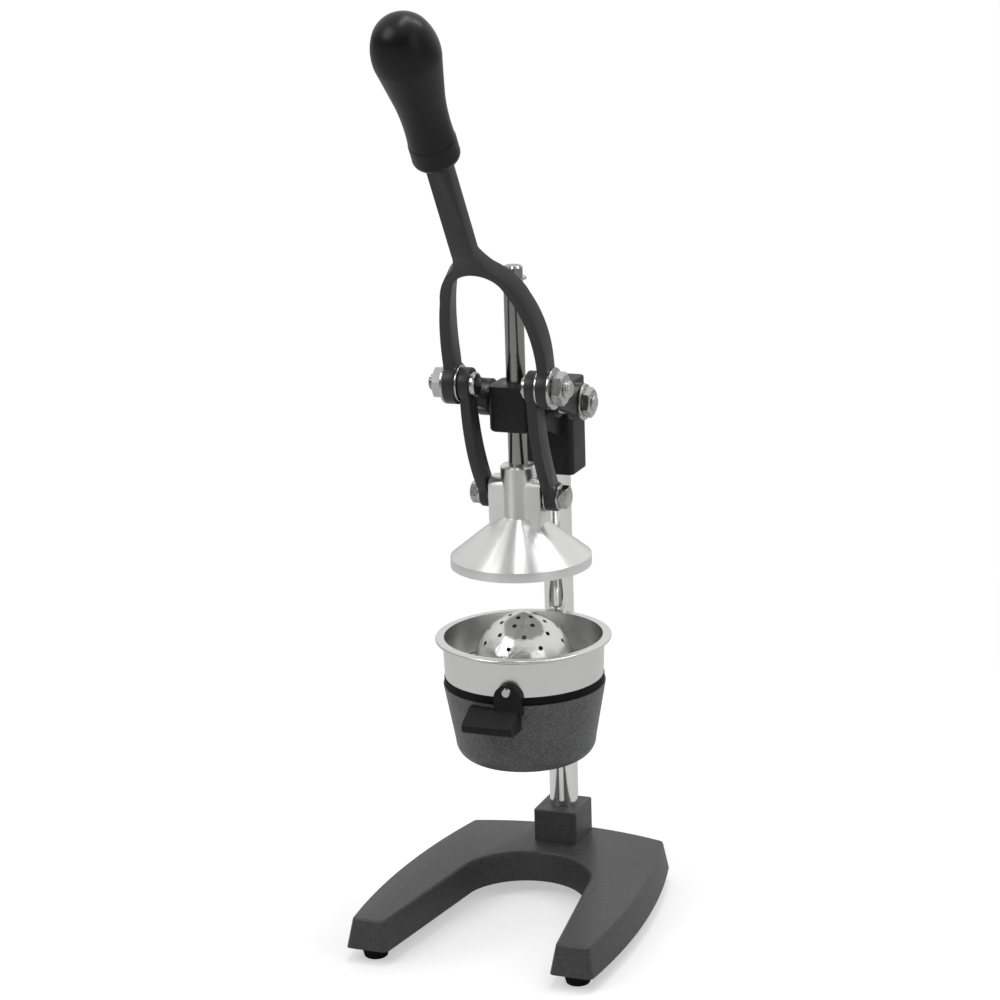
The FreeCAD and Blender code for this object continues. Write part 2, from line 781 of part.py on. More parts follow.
def make_crank():
    """Bolts that carry the links on the cheeks, with washers and nuts."""
    bolts = new_body("crank_bolts")
    washers = new_body("crank_washers")
    nuts = new_body("crank_nuts")
    for piece in (bolts, washers, nuts):
        place(piece, "0", "-crank_front", "crank_height")
    cheek_outer = "(cheek_inner + cheek_thick)"
    inner_face = "(link_inner - rest_gap)"
    profile = new_sketch(bolts, "XY")
    outline(profile, [
        (f"{inner_face} - crank_head", "0"),
        (f"{inner_face} - crank_head", "crank_head_dia / 2"),
        (inner_face, "crank_head_dia / 2"),
        (inner_face, "crank_pin_dia / 2"),
        ("crank_pin_end", "crank_pin_dia / 2"),
        ("crank_pin_end", "0"),
    ])
    mirrored(bolts, [turned(bolts, profile, axis="H_Axis")])
    bore = "crank_pin_dia + 2 * seat_gap"
    link_outer = "(link_inner + link_thick + rest_gap)"
    rings = [ring(washers, "YZ", link_outer, "crank_hub_dia - 4", bore, f"cheek_inner - {link_outer}"),
             ring(washers, "YZ", cheek_outer, "crank_washer_dia", bore, "washer_thick")]
    mirrored(washers, rings)
    mirrored(nuts, [nut(nuts, "YZ", f"{cheek_outer} + washer_thick", "crank_nut_flats", bore, "crank_nut")])


def make_link(name, sign):
    """Bowed link from the crank pin down to the cone, with its lower bolt and washers."""
    back = sign < 0
    side = "-" if back else ""
    reach = "(crank_front + link_foot_back)"
    drop = "(crank_height - link_foot_height)"
    span = f"sqrt({reach} ^ 2 + {drop} ^ 2)"
    body = new_body("link_" + name)
    place(body, "0", "-crank_front", "crank_height")
    lean(body, f"atan({reach} / {drop})")
    lift = f"{side}link_inner"
    for v, radius in (("0", "link_top_radius"), (f"-{span}", "link_foot_radius")):
        eye = new_sketch(body, "YZ", lift)
        circle(eye, "0", v, f"2 * {radius}")
        pad(body, eye, "link_thick", back=back)
    band = new_sketch(body, "YZ", lift)
    outline(band, [
        ("-link_width / 2", "0"),
        ("link_taper - link_width / 2", f"-{span}", "-link_bow - link_width / 2", f"-{span} / 2"),
        ("link_width / 2 - link_taper", f"-{span}"),
        ("link_width / 2 - link_taper", "0", "-link_bow + link_width / 2", f"-{span} / 2"),
    ])
    pad(body, band, "link_thick", back=back)
    for v, diameter in (("0", "crank_pin_dia + 2 * slip"), (f"-{span}", "link_bolt_dia + 2 * seat_gap")):
        bore = new_sketch(body, "YZ")
        circle(bore, "0", v, diameter)
        pocket(body, bore)
    bolt = new_body(f"link_{name}_bolt")
    washers = new_body(f"link_{name}_washers")
    for piece in (bolt, washers):
        place(piece, "0", "link_foot_back", "link_foot_height")
    outer = "(link_inner + link_thick)"
    seat = f"{side}({outer} + washer_thick)"
    nut(bolt, "YZ", seat, "link_bolt_flats", "", "link_bolt_head", back=back)
    ring(bolt, "YZ", f"{side}(lug_half - lug_pocket_depth + overcut)", "link_bolt_dia", "",
         f"{outer} + washer_thick + link_bolt_head / 2 - lug_half + lug_pocket_depth - overcut", back=back)
    bore = "link_bolt_dia + 2 * seat_gap"
    ring(washers, "YZ", f"{side}{outer}", "link_washer_dia", bore, "washer_thick", back=back)
    ring(washers, "YZ", f"{side}link_inner", "link_cover_dia", bore, "link_cover_thick", back=not back)


def make_press():
    """Cone that squeezes the fruit: hub, lugs with slots for the link bolts, and hollow underside."""
    body = new_body("press_cone")
    outer = new_sketch(body, "XZ")
    band_top = "(cone_rim + cone_band)"
    outline(outer, [
        ("0", "cone_rim"),
        ("cone_rim_radius", "cone_rim"),
        ("cone_rim_radius", band_top),
        ("cone_top_radius", "cone_top"),
        ("hub_dia / 2", "cone_top"),
        ("hub_dia / 2", "hub_top - casting_edge"),
        ("hub_dia / 2 - casting_edge", "hub_top"),
        ("0", "hub_top"),
    ])
    turned(body, outer)
    lug = new_sketch(body, "YZ", "lug_inner")
    cut = f"lug_round * {arc_cut}"
    outline(lug, [
        ("-lug_reach", "cone_rim + 2 * cone_band"),
        ("lug_reach", "cone_rim + 2 * cone_band"),
        ("lug_reach", "lug_top - lug_round"),
        ("lug_reach - lug_round", "lug_top", f"lug_reach - {cut}", f"lug_top - {cut}"),
        ("lug_round - lug_reach", "lug_top"),
        ("-lug_reach", "lug_top - lug_round", f"{cut} - lug_reach", f"lug_top - {cut}"),
    ])
    mirrored(body, [pad(body, lug, "lug_half - lug_inner")])
    slot_gap = "(link_bolt_dia / 2 + rest_gap)"
    for side, back in (("", False), ("-", True)):
        slot = new_sketch(body, "YZ", f"{side}lug_half")
        rectangle(slot, f"link_foot_back - link_foot_shift - {slot_gap}",
                  f"link_foot_height - link_foot_drop - {slot_gap}",
                  f"link_foot_back + {slot_gap}", f"link_foot_height + {slot_gap}")
        pocket(body, slot, "lug_pocket_depth", "One side", back)
    roof_slope = "((cone_top - cone_rim - cone_band) / (cone_rim_radius - cone_top_radius))"
    wall_drop = f"(cone_wall * sqrt(1 + {roof_slope} ^ 2))"
    inner = new_sketch(body, "XZ")
    outline(inner, [
        ("0", "cone_rim - overcut"),
        ("cone_rim_radius - cone_wall", "cone_rim - overcut"),
        ("cone_rim_radius - cone_wall", f"{band_top} + cone_wall * {roof_slope} - {wall_drop}"),
        ("cone_roof_radius", f"{band_top} + (cone_rim_radius - cone_roof_radius) * {roof_slope} - {wall_drop}"),
        ("0", f"{band_top} + (cone_rim_radius - cone_roof_radius) * {roof_slope} - {wall_drop}"),
    ])
    turned(body, inner, "Groove")
    bore = new_sketch(body, "XY", "hub_top - rod_seat")
    circle(bore, "0", "0", "rod_dia + 2 * seat_gap")
    pocket(body, bore, "hub_top", "One side", True)
    tapped = new_sketch(body, "XZ")
    circle(tapped, "0", "hub_top - grub_depth", "grub_dia + 2 * seat_gap")
    pocket(body, tapped, "hub_dia", "One side")


def make_rod():
    """Guide rod with the grub screw that holds its foot and a stop ring near the top."""
    rod_foot = "(hub_top - rod_seat + seat_gap)"
    rod = new_body("guide_rod")
    profile = new_sketch(rod, "XZ")
    outline(profile, [
        ("0", rod_foot),
        ("rod_dia / 2 - rod_chamfer", rod_foot),
        ("rod_dia / 2", f"{rod_foot} + rod_chamfer"),
        ("rod_dia / 2", "ring_height - seat_gap"),
        ("rod_dia / 2 - ring_groove", "ring_height - seat_gap"),
        ("rod_dia / 2 - ring_groove", "ring_height + ring_thick + seat_gap"),
        ("rod_dia / 2", "ring_height + ring_thick + seat_gap"),
        ("rod_dia / 2", "rod_top - rod_chamfer"),
        ("rod_dia / 2 - rod_chamfer", "rod_top"),
        ("0", "rod_top"),
    ])
    turned(rod, profile)
    grub = new_body("rod_grub_screw")
    tip = "(rod_dia / 2 + slip)"
    shank = new_sketch(grub, "XZ", f"-{tip}")
    circle(shank, "0", "hub_top - grub_depth", "grub_dia")
    pad(grub, shank, f"hub_dia / 2 - grub_sink - {tip}", back=True)
    key = new_sketch(grub, "XZ", "-(hub_dia / 2 - grub_sink)")
    hexagon(key, "grub_socket", "0", "(hub_top - grub_depth)")
    pocket(grub, key, "grub_socket", "One side", True)
    stop = new_body("rod_stop_ring")
    ring(stop, "XY", "ring_height", "ring_dia", "rod_dia - 2 * ring_groove + 2 * seat_gap", "ring_thick")


def make_holder():
    """Bowl that carries the cup, with a collar clamped on the column."""
    body = new_body("cup_holder")
    outer = new_sketch(body, "XZ")
    turn = "holder_round"
    outline(outer, [
        ("0", "holder_foot"),
        (f"holder_foot_radius - {turn}", "holder_foot"),
        ("holder_foot_radius", f"holder_foot + {turn}", f"holder_foot_radius - {arc_cut} * {turn}",
         f"holder_foot + {arc_cut} * {turn}"),
        ("holder_top_radius", "holder_top"),
        ("0", "holder_top"),
    ])
    turned(body, outer)
    collar = new_sketch(body, "XY", "collar_bottom")
    circle(collar, "0", "column_offset", "collar_dia")
    pad(body, collar, "collar_top - collar_bottom")
    arm = new_sketch(body, "XY", "collar_bottom")
    rectangle(arm, "-arm_width / 2", "holder_foot_radius / 2", "arm_width / 2", "column_offset")
    pad(body, arm, "collar_top - collar_bottom")
    flat = new_sketch(body, "XZ", "-(column_offset + collar_dia / 2 - clamp_flat)")
    rectangle(flat, "-collar_dia", "collar_bottom - overcut", "collar_dia", "collar_top + overcut")
    pocket(body, flat, "collar_dia", "One side")
    inner = new_sketch(body, "XZ")
    outline(inner, [
        ("0", "holder_foot + holder_floor"),
        (f"holder_foot_radius - {turn}", "holder_foot + holder_floor"),
        ("holder_foot_radius - holder_wall", f"holder_foot + {turn}",
         f"holder_foot_radius - holder_wall - {arc_cut} * ({turn} - holder_wall)",
         f"holder_foot + holder_floor + {arc_cut} * ({turn} - holder_floor)"),
        ("holder_top_radius - holder_wall", "holder_top"),
        ("holder_top_radius - holder_wall", "holder_top + overcut"),
        ("0", "holder_top + overcut"),
    ])
    turned(body, inner, "Groove")
    for middle, diameter in (("0", "holder_outlet_dia"), ("column_offset", "column_dia + 2 * slip")):
        bore = new_sketch(body, "XY")
        circle(bore, "0", middle, diameter)
        pocket(body, bore)
    back_hole(body, "holder_screw_height", "collar_dia")


def make_seat_ring():
    """Rubber ring between holder and cup."""
    body = new_body("seat_ring")
    ring(body, "XY", "holder_top", "2 * seat_radius", "2 * (cup_waist_radius + rest_gap)", "seat_height")


def make_cup():
    """Sheet steel cup: rolled lip, band, step that sits on the ring, sloping floor and spout."""
    body = new_body("strainer_cup")
    step = "(holder_top + seat_height)"
    under_lip = "(cup_lip - cup_lip_thick)"
    profile = new_sketch(body, "XZ")
    outline(profile, [
        ("cup_spout_radius - cup_wall", "cup_spout_foot"),
        ("cup_spout_radius", "cup_spout_foot"),
        ("cup_spout_radius", "cup_foot - 2 * cup_wall"),
        ("cup_foot_radius", "cup_foot"),
        ("cup_waist_radius", step),
        ("cup_band_foot_radius", step),
        ("cup_band_top_radius", under_lip),
        ("cup_lip_radius - cup_lip_thick / 2", under_lip),
        ("cup_lip_radius - cup_lip_thick / 2", "cup_lip", "cup_lip_radius", "cup_lip - cup_lip_thick / 2"),
        ("cup_band_top_radius - cup_wall", "cup_lip"),
        ("cup_band_foot_radius - cup_wall", f"{step} + cup_wall"),
        ("cup_waist_radius - cup_wall", f"{step} + cup_wall"),
        ("cup_foot_radius - cup_wall", "cup_foot + cup_wall"),
        ("cup_spout_radius - cup_wall", "cup_foot - cup_wall"),
    ])
    turned(body, profile)
    hole = new_sketch(body, "XZ")
    circle(hole, *handle_screw_place(), "handle_screw_dia + 2 * seat_gap")
    pocket(body, hole, "cup_lip_radius", "One side", True)


def handle_screw_place():
    return "tongue_shift", "(holder_top + seat_height + handle_screw_rise)"


def make_handle():
    """Black lifting handle: a tab in front of the holder and a tongue screwed to the cup's band."""
    body = new_body("cup_handle")
    tab = new_sketch(body, "YZ")
    outline(tab, [
        ("-handle_front + block_corner", "handle_bottom"),
        ("-handle_front", "handle_bottom + block_corner", f"-handle_front + block_corner * {arc_cut}",
         f"handle_bottom + block_corner * {arc_cut}"),
        ("-handle_front", "handle_nose_top - casting_edge"),
        ("-handle_front + casting_edge", "handle_nose_top"),
        ("-tongue_front", "handle_top"),
        ("-handle_front / 2", "handle_top"),
        ("-handle_front / 2", "handle_bottom"),
    ])
    pad(body, tab, "2 * handle_half", "Symmetric")
    tongue = new_sketch(body, "XZ", "handle_front / 2")
    foot = "(handle_top - block_corner)"
    left = "(tongue_shift - tongue_half)"
    right = "(tongue_shift + tongue_half)"
    outline(tongue, [
        (left, foot),
        (left, "tongue_top - tongue_half"),
        (right, "tongue_top - tongue_half", "tongue_shift", "tongue_top"),
        (right, foot),
    ])
    pad(body, tongue, "tongue_front + casting_edge - handle_front / 2")
    clear = new_sketch(body, "XZ")
    holder_gap = "(holder_top_radius + 2 * rest_gap)"
    above_seat = "(holder_top + seat_height + rest_gap)"
    outline(clear, [
        ("0", "handle_bottom - overcut"),
        (holder_gap, "handle_bottom - overcut"),
        (holder_gap, above_seat),
        ("cup_band_foot_radius + seat_gap", above_seat),
        ("cup_band_top_radius + seat_gap", "cup_lip - cup_lip_thick"),
        ("0", "cup_lip - cup_lip_thick"),
    ])
    turned(body, clear, "Groove")
    hole = new_sketch(body, "XZ")
    circle(hole, *handle_screw_place(), "handle_screw_dia + 2 * seat_gap")
    pocket(body, hole, "handle_front", "One side", True)
    screw = new_body("handle_screw")
    face = "(tongue_front + casting_edge)"
    tip = "(cup_waist_radius + 2 * cup_wall)"
    shank = new_sketch(screw, "XZ", tip)
    circle(shank, *handle_screw_place(), "handle_screw_dia")
    pad(screw, shank, f"{face} - {tip} + handle_screw_head / 2")
    head = new_sketch(screw, "XZ", face)
    circle(head, *handle_screw_place(), "handle_screw_head_dia")
    dome = pad(screw, head, "handle_screw_head")
    bind(dome, "TaperAngle", "-handle_screw_slope")


def make_reamer():
    """Perforated dome that holds the fruit from below; its flange lies on the step of the cup."""
    body = new_body("reamer")
    seat = "(holder_top + seat_height + cup_wall)"
    top = f"({seat} + reamer_flange)"
    profile = new_sketch(body, "XZ")
    outline(profile, [
        ("0", "reamer_top"),
        ("crown_flat", "reamer_top"),
        ("reamer_foot_radius", f"{top} + reamer_wall", "reamer_shoulder_radius", "reamer_shoulder"),
        ("reamer_foot_radius + 2 * reamer_wall", top, "reamer_foot_radius + reamer_wall * 0.7",
         f"{top} + reamer_wall * 0.3"),
        ("reamer_flange_radius", top),
        ("reamer_flange_radius", seat),
        ("reamer_foot_radius - reamer_wall", seat),
        ("crown_flat", "reamer_top - reamer_wall", "reamer_shoulder_radius - reamer_wall",
         "reamer_shoulder - reamer_wall / 2"),
        ("0", "reamer_top - reamer_wall"),
    ])
    turned(body, profile)
    # each row of holes: lean of its holes from upright, how many, and turn of the first one
    for tilt, count, turn in ((14, 6, 30), (27, 8, 0), (42, 8, 22.5), (57, 8, 0)):
        row = new_sketch(body, "XZ")
        row.AttachmentOffset = FreeCAD.Placement(Vector(), FreeCAD.Rotation(Vector(0, 1, 0), turn))
        polar(body, [leaning_hole(body, row, tilt)], count)
    drain = new_sketch(body, "XY", seat)
    circle(drain, "drain_radius", "0", "reamer_hole_dia")
    polar(body, [pocket(body, drain, "reamer_top", "One side", True)], int(number("drain_count")))


def leaning_hole(body, sketch, tilt):
    """Hole square to the dome: half its section, turned about a line from the dome's centre."""
    def along(reach, aside):
        return (f"{reach} * sin({tilt}) + {aside} * cos({tilt})",
                f"dome_centre + {reach} * cos({tilt}) - {aside} * sin({tilt})")

    near = "reamer_foot_radius / 2"
    far = "1.5 * reamer_foot_radius"
    ends = [Vector(*[number(value) for value in along(reach, "0")], 0) for reach in (near, far)]
    sketch.addGeometry(Part.LineSegment(*ends), True)
    for point, reach in ((1, near), (2, far)):
        pin_point(sketch, 0, point, *along(reach, "0"))
    outline(sketch, [along(near, "0"), along(far, "0"), along(far, "reamer_hole_dia / 2"),
                     along(near, "reamer_hole_dia / 2")])
    return turned(body, sketch, "Groove", "Axis0")


make_base()
make_feet()
make_column()
make_column_bolt()
make_head()
make_clamp_screws()
make_guide_bushes()
make_pivot()
make_lever()
make_grip()
make_crank()
make_link("left", -1)
make_link("right", 1)
make_press()
make_rod()
make_holder()
make_seat_ring()
make_cup()
make_handle()
make_reamer()
doc.recompute()

for item in doc.Objects:
    if "Invalid" in item.State or "Error" in item.State:
        print("faulty:", item.Name, item.State)
os.makedirs("parts", exist_ok=True)
for piece in pieces:
    shape = piece.Shape
    if shape.isNull() or not shape.isValid() or not shape.Solids:
        print("unsound:", piece.Label)
        continue
    box = shape.optimalBoundingBox()
    print(f"{piece.Label}: {len(shape.Solids)} solids, {shape.Volume / 1000:.1f} cm3,"
          f" y {box.YMin:.1f} {box.YMax:.1f}, z {box.ZMin:.1f} {box.ZMax:.1f}")
    shape.exportStep(f"parts/{piece.Label}.step")
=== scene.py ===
import json
import math

import bmesh
import bpy
from mathutils import Matrix, Vector


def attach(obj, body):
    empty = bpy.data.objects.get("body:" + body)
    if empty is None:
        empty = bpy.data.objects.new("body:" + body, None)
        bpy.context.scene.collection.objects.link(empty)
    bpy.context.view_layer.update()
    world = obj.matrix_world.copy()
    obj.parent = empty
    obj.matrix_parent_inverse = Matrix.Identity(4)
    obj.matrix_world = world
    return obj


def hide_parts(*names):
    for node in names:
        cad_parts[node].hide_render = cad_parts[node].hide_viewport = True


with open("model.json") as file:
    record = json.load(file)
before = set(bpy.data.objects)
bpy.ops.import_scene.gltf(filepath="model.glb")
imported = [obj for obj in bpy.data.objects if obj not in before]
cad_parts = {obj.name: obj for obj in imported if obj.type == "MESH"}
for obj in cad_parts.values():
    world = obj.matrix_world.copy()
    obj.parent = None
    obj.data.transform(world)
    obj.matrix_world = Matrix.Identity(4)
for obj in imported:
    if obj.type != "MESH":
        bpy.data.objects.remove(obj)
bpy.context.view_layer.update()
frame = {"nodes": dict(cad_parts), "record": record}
print("frame loaded:", len(frame["nodes"]), "nodes")

# Lever citrus press. Sizes are in millimetres, counted from the press axis, and turned into
# metres when a mesh is made. The press axis stands behind the middle of the object.
milli = 0.001
pressAxis = 57.9
columnOffset = 87.1             # from the press axis back to the column
bodies = frame["record"]["behaviour"]["bodies"]
bodyOf = {node: body for body, members in bodies.items() for node in members}


def spot(x, y, z):
    # a place near the press axis, in the scene's metres
    return Vector((x, y + pressAxis, z)) * milli


def grey(tone, tint=(1.0, 1.0, 1.0)):
    return (tone * tint[0], tone * tint[1], tone * tint[2], 1.0)


class Wire:
    # one output socket; arithmetic on wires adds the nodes for it
    def __init__(self, tree, socket):
        self.tree = tree
        self.socket = socket

    def node(self, kind, settings=None, values=None, output=0):
        made = self.tree.nodes.new(kind)
        for key, value in (settings or {}).items():
            if key == "stops":
                ramp = made.color_ramp
                while len(ramp.elements) > 1:
                    ramp.elements.remove(ramp.elements[-1])
                for index, (place, colour) in enumerate(value):
                    stop = ramp.elements[0] if index == 0 else ramp.elements.new(place)
                    stop.position = place
                    stop.color = colour
            else:
                setattr(made, key, value)
        for key, value in (values or {}).items():
            socket = made.inputs[key]
            if isinstance(value, Wire):
                self.tree.links.new(value.socket, socket)
            else:
                socket.default_value = value
        return Wire(self.tree, made.outputs[output])

    def maths(self, operation, first, second):
        vector = any(isinstance(side, Wire) and side.socket.type == "VECTOR" for side in (first, second))
        kind = "ShaderNodeVectorMath" if vector else "ShaderNodeMath"
        return self.node(kind, {"operation": operation}, {0: first, 1: second})

    def __add__(self, other):
        return self.maths("ADD", self, other)

    def __radd__(self, other):
        return self.maths("ADD", other, self)

    def __sub__(self, other):
        return self.maths("SUBTRACT", self, other)

    def __rsub__(self, other):
        return self.maths("SUBTRACT", other, self)

    def __mul__(self, other):
        return self.maths("MULTIPLY", self, other)

    def __rmul__(self, other):
        return self.maths("MULTIPLY", other, self)

    def __pow__(self, other):
        return self.maths("POWER", self, other)

    def part(self, letter):
        # X, Y or Z of a place or direction
        return self.node("ShaderNodeSeparateXYZ", None, {0: self}, letter)

    def ramp(self, *stops):
        return self.node("ShaderNodeValToRGB", {"stops": [(place, grey(tone)) for place, tone in stops]},
                         {"Fac": self})

    def between(self, low, high):
        # a number that goes from low to high as this wire goes from 0 to 1
        return self.node("ShaderNodeMapRange", None, {"Value": self, "To Min": low, "To Max": high})

    def smoothly(self, start, end, low=0.0, high=1.0):
        # a number that eases from low to high as this wire goes from start to end
        return self.node("ShaderNodeMapRange", {"interpolation_type": "SMOOTHSTEP"},
                         {"Value": self, "From Min": start, "From Max": end, "To Min": low, "To Max": high})

    def mixColours(self, first, second):
        # sockets 6 and 7 are the two colours of a Mix node, and output 2 is the mixed one
        return self.node("ShaderNodeMix", {"data_type": "RGBA"}, {0: self, 6: first, 7: second}, 2)

    def show(self, kind):
        # this shader becomes the surface of its material or world
        output = self.tree.nodes.new(kind)
        self.tree.links.new(self.socket, output.inputs["Surface"])


def startMaterial(name):
    material = bpy.data.materials.new(name)
    material.use_nodes = True
    tree = material.node_tree
    tree.nodes.clear()
    return material, Wire(tree, tree.nodes.new("ShaderNodeTexCoord").outputs["Object"])


def coverWith(place, inputs):
    # the main shader of a finish, with a value or a wire for each socket
    place.node("ShaderNodeBsdfPrincipled", None, inputs).show("ShaderNodeOutputMaterial")


def noise(place, scale, detail, rough=0.5, output=0):
    return place.node("ShaderNodeTexNoise", None, {"Vector": place, "Scale": scale, "Detail": detail,
                                                   "Roughness": rough}, output)


def bump(place, height, distance, strength):
    return place.node("ShaderNodeBump", None, {"Height": height, "Distance": distance, "Strength": strength})


# Finishes. Scales count features per metre and depths are in metres.
paintFinish = {
    "base": 0.036,              # tone of the stoving paint
    "light": 0.066,             # tone of its lighter flecks
    "lightTint": (1.0, 1.01, 1.03),
    "scale": 420.0,             # hammer marks
    "dimple": 0.00022,          # depth of the hammer marks
    "wander": 0.004,            # most that the marks are pushed out of place, metres
    "wanderScale": 90.0,
    "cloud": 38.0,              # broad changes of gloss
    "speck": 2.4,               # how much finer the specks are than the marks
    "rough": 0.42,
    "shine": 0.35,              # strength of its reflections, where 0.5 is usual
}


def hammerPaint(name, finish):
    material, place = startMaterial(name)
    # the noise's colour becomes one grey number, so a mark is pushed along one slanted line
    pushed = place + noise(place, finish["wanderScale"], 2.0, output=1) * finish["wander"]
    cells = place.node("ShaderNodeTexVoronoi", {"feature": "SMOOTH_F1"},
                       {"Vector": pushed, "Scale": finish["scale"], "Smoothness": 0.6})
    cloud = noise(place, finish["cloud"], 4.0, 0.6)
    speck = noise(place, finish["scale"] * finish["speck"], 2.0, 0.6)
    fleck = (cells * 0.55 + speck * 0.55 + cloud * 0.25).ramp((0.30, 0.0), (0.78, 1.0))
    coverWith(place, {
        "Base Color": fleck.mixColours(grey(finish["base"]), grey(finish["light"], finish["lightTint"])),
        "Roughness": cloud.between(finish["rough"] - 0.06, finish["rough"] + 0.10),
        "Normal": bump(place, cells * 0.8 + speck * 0.2, finish["dimple"], 0.7),
        "Coat Weight": 0.08,
        "Coat Roughness": 0.25,
        "Specular IOR Level": finish["shine"],
    })
    return material


leverFinish = {
    "tone": 0.032,
    "lightTint": (1.0, 1.01, 1.02),
    "rough": 0.36,
    "sag": 55.0,                # slow waves of thick paint
    "grain": 900.0,
    "depth": 0.00012,
    "shine": 0.32,
}


def satinPaint(name, finish):
    # thick smooth paint over a casting
    material, place = startMaterial(name)
    sag = noise(place, finish["sag"], 3.0, 0.55)
    grain = noise(place, finish["grain"], 2.0, 0.6)
    dark = grey(finish["tone"] * 0.82)
    light = grey(finish["tone"] * 1.22, finish["lightTint"])
    coverWith(place, {
        "Base Color": (sag * 0.6 + grain * 0.4).mixColours(dark, light),
        "Roughness": grain.between(finish["rough"] - 0.05, finish["rough"] + 0.07),
        "Normal": bump(place, sag * 0.7 + grain * 0.3, finish["depth"], 0.5),
        "Coat Weight": 0.05,
        "Coat Roughness": 0.3,
        "Specular IOR Level": finish["shine"],
    })
    return material


plasticFinish = {
    "tone": 0.004,
    "rough": 0.32,
    "peel": 260.0,              # ripple of the moulded skin
    "depth": 0.00006,
    "wear": 24.0,               # patches rubbed by hands
    "shine": 0.3,
}


def mouldedPlastic(name, finish):
    material, place = startMaterial(name)
    peel = noise(place, finish["peel"], 3.0, 0.5)
    wear = noise(place, finish["wear"], 4.0, 0.6)
    coverWith(place, {
        "Base Color": wear.mixColours(grey(finish["tone"] * 0.85), grey(finish["tone"] * 1.2)),
        "Roughness": wear.between(finish["rough"] - 0.05, finish["rough"] + 0.08),
        "Normal": bump(place, peel, finish["depth"], 0.6),
        "Specular IOR Level": finish["shine"],
    })
    return material


rubberFinish = {
    "tone": 0.004,
    "dustTint": (1.0, 0.98, 0.95),
    "grain": 1400.0,
    "depth": 0.00008,
    "dust": 45.0,               # patches of dust
    "shine": 0.2,
}


def rubberSkin(name, finish):
    material, place = startMaterial(name)
    grain = noise(place, finish["grain"], 2.0, 0.7)
    dust = noise(place, finish["dust"], 4.0, 0.65).ramp((0.45, 0.0), (0.85, 1.0))
    coverWith(place, {
        "Base Color": dust.mixColours(grey(finish["tone"]), grey(finish["tone"] * 2.0, finish["dustTint"])),
        "Roughness": grain.between(0.62, 0.85),
        "Normal": bump(place, grain, finish["depth"], 0.6),
        "Specular IOR Level": finish["shine"],
    })
    return material


turnedFinish = {
    "tint": (1.0, 1.0, 0.98),
    "groove": 0.000006,         # depth of the rings that the lathe leaves
    "pitch": 2400.0,            # rings
    "spread": 0.0,              # how far the rings draw a highlight out, 0 to 1
    "dent": 0.0,                # depth of the dents in pressed sheet
    "dentScale": 130.0,
    "haze": 60.0,               # broad changes of tone and gloss
    "smear": 420.0,             # small changes of gloss
    "axis": pressAxis * milli,  # y of the upright axis that the metal was turned about, metres
}
radialTurn = 0.25               # turns a highlight from along the rings to across them


def turnedSteel(name, finish):
    # metal finished on a lathe: fine rings about an upright axis, which draw a highlight out across
    # them, and shallow dents where sheet was pressed
    material, place = startMaterial(name)
    back = place.part("Y") - finish["axis"]
    side = place.part("X")
    radius = (side * side + back * back) ** 0.5
    section = place.node("ShaderNodeCombineXYZ", None, {"X": radius, "Y": place.part("Z")})
    ring = noise(section, finish["pitch"], 2.0, 0.7)
    haze = noise(place, finish["haze"], 3.0, 0.6)
    smear = noise(place, finish["smear"], 3.0, 0.65)
    dents = noise(place, finish["dentScale"], 2.0)
    dark = grey(finish["tone"] * 0.93, finish["tint"])
    light = grey(min(finish["tone"] * 1.06, 1.0), finish["tint"])
    coverWith(place, {
        "Base Color": (haze * 0.7 + ring * 0.3).mixColours(dark, light),
        "Metallic": 1.0,
        "Roughness": (haze * 0.5 + smear * 0.5).between(finish["rough"] - 0.04, finish["rough"] + 0.06),
        "Normal": bump(place, ring * finish["groove"] + dents * finish["dent"], 1.0, 0.6),
        "Anisotropic": finish["spread"],
        "Anisotropic Rotation": radialTurn,
    })
    return material


platedFinish = {
    "cloud": 140.0,             # changes of tone in the plating
    "scratch": 1100.0,
    "depth": 0.00003,
}


def platedSteel(name, finish):
    material, place = startMaterial(name)
    cloud = noise(place, finish["cloud"], 4.0, 0.6)
    scratch = noise(place, finish["scratch"], 3.0, 0.7)
    dark = grey(finish["tone"] * 0.85, finish["tint"])
    light = grey(min(finish["tone"] * 1.12, 1.0), finish["tint"])
    coverWith(place, {
        "Base Color": cloud.mixColours(dark, light),
        "Metallic": 1.0,
        "Roughness": (cloud * 0.6 + scratch * 0.4).between(finish["rough"] - 0.08, finish["rough"] + 0.10),
        "Normal": bump(place, scratch, finish["depth"], 0.35),
    })
    return material


# the head casting has the same paint as the base; this darker copy of it is painted shade for the shadowed
# head
shadedHeadFinish = dict(paintFinish, base=0.011, light=0.024, shine=0.18)
holderFinish = dict(paintFinish, light=0.130, scale=520.0, dimple=0.00030, rough=0.40)
chromeFinish = dict(turnedFinish, tone=0.88, rough=0.07, groove=0.000004, pitch=2600.0,
                    axis=(pressAxis + columnOffset) * milli)
rodFinish = dict(turnedFinish, tone=0.33, rough=0.16, pitch=2600.0)
coneFinish = dict(turnedFinish, tone=0.86, rough=0.33, groove=0.000004, pitch=1800.0, spread=0.85)
cupFinish = dict(turnedFinish, tone=0.76, rough=0.24, groove=0.000005, spread=0.4)
domeFinish = dict(turnedFinish, tone=0.80, rough=0.18, dent=0.0009)
zincFinish = dict(platedFinish, tone=0.56, rough=0.15, tint=(1.0, 0.995, 0.985))
bushFinish = dict(platedFinish, tone=0.16, rough=0.42, tint=(1.0, 0.98, 0.95))

